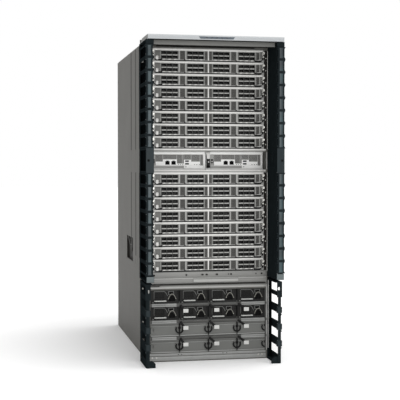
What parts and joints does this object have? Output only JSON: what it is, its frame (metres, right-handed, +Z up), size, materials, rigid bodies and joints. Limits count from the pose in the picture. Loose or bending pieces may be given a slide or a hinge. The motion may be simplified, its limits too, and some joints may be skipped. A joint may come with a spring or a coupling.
{
  "type": "modular chassis switch",
  "caption": "Tall rack chassis with stacked slide-in line modules, paired half-width supervisors, power bays, hood and cable frames with finger rings at both sides.",
  "frame": {"origin": "on the floor, in the middle of the whole object's width and depth", "axes": "+X to the right seen from the front, +Y from the front to the back, +Z up"},
  "size_m": [0.4966, 1.0584, 1.1506],
  "materials": {
    "chassis_paint": "matt powder coat",
    "handle_steel": "matt powder coat",
    "hood_paint": "satin paint",
    "indicator": "satin print",
    "frame_black": "semi-gloss",
    "beam_paint": "satin paint",
    "shelf_paint": "satin paint",
    "board": "circuit board",
    "fabric_steel": "plated sheet",
    "screw_steel": "zinc plated",
    "module_face": "satin paint",
    "supervisor_face": "satin paint",
    "lever_black": "matt",
    "supply_black": "satin black",
    "blank_paint": "satin paint",
    "rotor_black": "matt"
  },
  "bodies": {
    "chassis": {"chassis_shell": "chassis_paint", "side_handle_left": "handle_steel", "side_handle_right": "handle_steel", "top_hood": "hood_paint", "hood_indicator_panel": "indicator", "cable_frame_upper_left": "frame_black", "cable_frame_upper_right": "frame_black", "cable_frame_lower_left": "frame_black", "cable_frame_lower_right": "frame_black", "intake_beam": "beam_paint", "power_shelf": "shelf_paint", "rear_power_cover": "chassis_paint", "midplane": "board", "fabric_modules": "fabric_steel", "front_fasteners": "screw_steel"},
    "io_module_01": {"io_module_01": "module_face"},
    "io_module_02": {"io_module_02": "module_face"},
    "io_module_03": {"io_module_03": "module_face"},
    "io_module_04": {"io_module_04": "module_face"},
    "io_module_05": {"io_module_05": "module_face"},
    "io_module_06": {"io_module_06": "module_face"},
    "io_module_07": {"io_module_07": "module_face"},
    "io_module_08": {"io_module_08": "module_face"},
    "io_module_09": {"io_module_09": "module_face"},
    "io_module_10": {"io_module_10": "module_face"},
    "io_module_11": {"io_module_11": "module_face"},
    "io_module_12": {"io_module_12": "module_face"},
    "io_module_13": {"io_module_13": "module_face"},
    "io_module_14": {"io_module_14": "module_face"},
    "io_module_15": {"io_module_15": "module_face"},
    "io_module_16": {"io_module_16": "module_face"},
    "supervisor_left": {"supervisor_left": "supervisor_face"},
    "supervisor_right": {"supervisor_right": "supervisor_face"},
    "supervisor_lever_left": {"supervisor_lever_left": "lever_black"},
    "supervisor_lever_right": {"supervisor_lever_right": "lever_black"},
    "power_supply_1": {"power_supply_1": "supply_black"},
    "power_supply_2": {"power_supply_2": "supply_black"},
    "power_supply_3": {"power_supply_3": "supply_black"},
    "power_supply_4": {"power_supply_4": "supply_black"},
    "power_supply_5": {"power_supply_5": "supply_black"},
    "power_supply_6": {"power_supply_6": "supply_black"},
    "power_supply_7": {"power_supply_7": "supply_black"},
    "power_supply_8": {"power_supply_8": "supply_black"},
    "supply_blank_1": {"supply_blank_1": "blank_paint"},
    "supply_blank_2": {"supply_blank_2": "blank_paint"},
    "supply_blank_3": {"supply_blank_3": "blank_paint"},
    "supply_blank_4": {"supply_blank_4": "blank_paint"},
    "supply_blank_5": {"supply_blank_5": "blank_paint"},
    "supply_blank_6": {"supply_blank_6": "blank_paint"},
    "supply_blank_7": {"supply_blank_7": "blank_paint"},
    "supply_blank_8": {"supply_blank_8": "blank_paint"},
    "fan_tray_1": {"fan_tray_1": "fabric_steel"},
    "fan_rotor_1": {"fan_rotor_1": "rotor_black"},
    "fan_rotor_2": {"fan_rotor_2": "rotor_black"},
    "fan_tray_2": {"fan_tray_2": "fabric_steel"},
    "fan_rotor_3": {"fan_rotor_3": "rotor_black"},
    "fan_rotor_4": {"fan_rotor_4": "rotor_black"},
    "fan_tray_3": {"fan_tray_3": "fabric_steel"},
    "fan_rotor_5": {"fan_rotor_5": "rotor_black"},
    "fan_rotor_6": {"fan_rotor_6": "rotor_black"}
  },
  "joints": [
    {"name": "io_module_01_slide", "type": "slide", "parent": "chassis", "child": "io_module_01", "axis": [0, -1, 0], "range_m": [0, 0.45]},
    {"name": "io_module_02_slide", "type": "slide", "parent": "chassis", "child": "io_module_02", "axis": [0, -1, 0], "range_m": [0, 0.45]},
    {"name": "io_module_03_slide", "type": "slide", "parent": "chassis", "child": "io_module_03", "axis": [0, -1, 0], "range_m": [0, 0.45]},
    {"name": "io_module_04_slide", "type": "slide", "parent": "chassis", "child": "io_module_04", "axis": [0, -1, 0], "range_m": [0, 0.45]},
    {"name": "io_module_05_slide", "type": "slide", "parent": "chassis", "child": "io_module_05", "axis": [0, -1, 0], "range_m": [0, 0.45]},
    {"name": "io_module_06_slide", "type": "slide", "parent": "chassis", "child": "io_module_06", "axis": [0, -1, 0], "range_m": [0, 0.45]},
    {"name": "io_module_07_slide", "type": "slide", "parent": "chassis", "child": "io_module_07", "axis": [0, -1, 0], "range_m": [0, 0.45]},
    {"name": "io_module_08_slide", "type": "slide", "parent": "chassis", "child": "io_module_08", "axis": [0, -1, 0], "range_m": [0, 0.45]},
    {"name": "io_module_09_slide", "type": "slide", "parent": "chassis", "child": "io_module_09", "axis": [0, -1, 0], "range_m": [0, 0.45]},
    {"name": "io_module_10_slide", "type": "slide", "parent": "chassis", "child": "io_module_10", "axis": [0, -1, 0], "range_m": [0, 0.45]},
    {"name": "io_module_11_slide", "type": "slide", "parent": "chassis", "child": "io_module_11", "axis": [0, -1, 0], "range_m": [0, 0.45]},
    {"name": "io_module_12_slide", "type": "slide", "parent": "chassis", "child": "io_module_12", "axis": [0, -1, 0], "range_m": [0, 0.45]},
    {"name": "io_module_13_slide", "type": "slide", "parent": "chassis", "child": "io_module_13", "axis": [0, -1, 0], "range_m": [0, 0.45]},
    {"name": "io_module_14_slide", "type": "slide", "parent": "chassis", "child": "io_module_14", "axis": [0, -1, 0], "range_m": [0, 0.45]},
    {"name": "io_module_15_slide", "type": "slide", "parent": "chassis", "child": "io_module_15", "axis": [0, -1, 0], "range_m": [0, 0.45]},
    {"name": "io_module_16_slide", "type": "slide", "parent": "chassis", "child": "io_module_16", "axis": [0, -1, 0], "range_m": [0, 0.45]},
    {"name": "supervisor_left_slide", "type": "slide", "parent": "chassis", "child": "supervisor_left", "axis": [0, -1, 0], "range_m": [0, 0.45]},
    {"name": "supervisor_right_slide", "type": "slide", "parent": "chassis", "child": "supervisor_right", "axis": [0, -1, 0], "range_m": [0, 0.45]},
    {"name": "supervisor_lever_left_hinge", "type": "hinge", "parent": "supervisor_left", "child": "supervisor_lever_left", "pos_m": [-0.2067, -0.33985, 0.748], "axis": [-1, 0, 0], "range_deg": [0, 65]},
    {"name": "supervisor_lever_right_hinge", "type": "hinge", "parent": "supervisor_right", "child": "supervisor_lever_right", "pos_m": [0.0088, -0.33985, 0.748], "axis": [-1, 0, 0], "range_deg": [0, 65]},
    {"name": "power_supply_1_slide", "type": "slide", "parent": "chassis", "child": "power_supply_1", "axis": [0, -1, 0], "range_m": [0, 0.3]},
    {"name": "power_supply_2_slide", "type": "slide", "parent": "chassis", "child": "power_supply_2", "axis": [0, -1, 0], "range_m": [0, 0.3]},
    {"name": "power_supply_3_slide", "type": "slide", "parent": "chassis", "child": "power_supply_3", "axis": [0, -1, 0], "range_m": [0, 0.3]},
    {"name": "power_supply_4_slide", "type": "slide", "parent": "chassis", "child": "power_supply_4", "axis": [0, -1, 0], "range_m": [0, 0.3]},
    {"name": "power_supply_5_slide", "type": "slide", "parent": "chassis", "child": "power_supply_5", "axis": [0, -1, 0], "range_m": [0, 0.3]},
    {"name": "power_supply_6_slide", "type": "slide", "parent": "chassis", "child": "power_supply_6", "axis": [0, -1, 0], "range_m": [0, 0.3]},
    {"name": "power_supply_7_slide", "type": "slide", "parent": "chassis", "child": "power_supply_7", "axis": [0, -1, 0], "range_m": [0, 0.3]},
    {"name": "power_supply_8_slide", "type": "slide", "parent": "chassis", "child": "power_supply_8", "axis": [0, -1, 0], "range_m": [0, 0.3]},
    {"name": "supply_blank_1_slide", "type": "slide", "parent": "chassis", "child": "supply_blank_1", "axis": [0, -1, 0], "range_m": [0, 0.05]},
    {"name": "supply_blank_2_slide", "type": "slide", "parent": "chassis", "child": "supply_blank_2", "axis": [0, -1, 0], "range_m": [0, 0.05]},
    {"name": "supply_blank_3_slide", "type": "slide", "parent": "chassis", "child": "supply_blank_3", "axis": [0, -1, 0], "range_m": [0, 0.05]},
    {"name": "supply_blank_4_slide", "type": "slide", "parent": "chassis", "child": "supply_blank_4", "axis": [0, -1, 0], "range_m": [0, 0.05]},
    {"name": "supply_blank_5_slide", "type": "slide", "parent": "chassis", "child": "supply_blank_5", "axis": [0, -1, 0], "range_m": [0, 0.05]},
    {"name": "supply_blank_6_slide", "type": "slide", "parent": "chassis", "child": "supply_blank_6", "axis": [0, -1, 0], "range_m": [0, 0.05]},
    {"name": "supply_blank_7_slide", "type": "slide", "parent": "chassis", "child": "supply_blank_7", "axis": [0, -1, 0], "range_m": [0, 0.05]},
    {"name": "supply_blank_8_slide", "type": "slide", "parent": "chassis", "child": "supply_blank_8", "axis": [0, -1, 0], "range_m": [0, 0.05]},
    {"name": "fan_tray_1_slide", "type": "slide", "parent": "chassis", "child": "fan_tray_1", "axis": [0, 1, 0], "range_m": [0, 0.1]},
    {"name": "fan_rotor_1_spin", "type": "hinge", "parent": "fan_tray_1", "child": "fan_rotor_1", "pos_m": [-0.1, 0.43765, 0.98537], "axis": [0, 1, 0], "continuous": true},
    {"name": "fan_rotor_2_spin", "type": "hinge", "parent": "fan_tray_1", "child": "fan_rotor_2", "pos_m": [0.1, 0.43765, 0.98537], "axis": [0, 1, 0], "continuous": true},
    {"name": "fan_tray_2_slide", "type": "slide", "parent": "chassis", "child": "fan_tray_2", "axis": [0, 1, 0], "range_m": [0, 0.1]},
    {"name": "fan_rotor_3_spin", "type": "hinge", "parent": "fan_tray_2", "child": "fan_rotor_3", "pos_m": [-0.1, 0.43765, 0.7201], "axis": [0, 1, 0], "continuous": true},
    {"name": "fan_rotor_4_spin", "type": "hinge", "parent": "fan_tray_2", "child": "fan_rotor_4", "pos_m": [0.1, 0.43765, 0.7201], "axis": [0, 1, 0], "continuous": true},
    {"name": "fan_tray_3_slide", "type": "slide", "parent": "chassis", "child": "fan_tray_3", "axis": [0, 1, 0], "range_m": [0, 0.1]},
    {"name": "fan_rotor_5_spin", "type": "hinge", "parent": "fan_tray_3", "child": "fan_rotor_5", "pos_m": [-0.1, 0.43765, 0.45483], "axis": [0, 1, 0], "continuous": true},
    {"name": "fan_rotor_6_spin", "type": "hinge", "parent": "fan_tray_3", "child": "fan_rotor_6", "pos_m": [0.1, 0.43765, 0.45483], "axis": [0, 1, 0], "continuous": true}
  ]
}
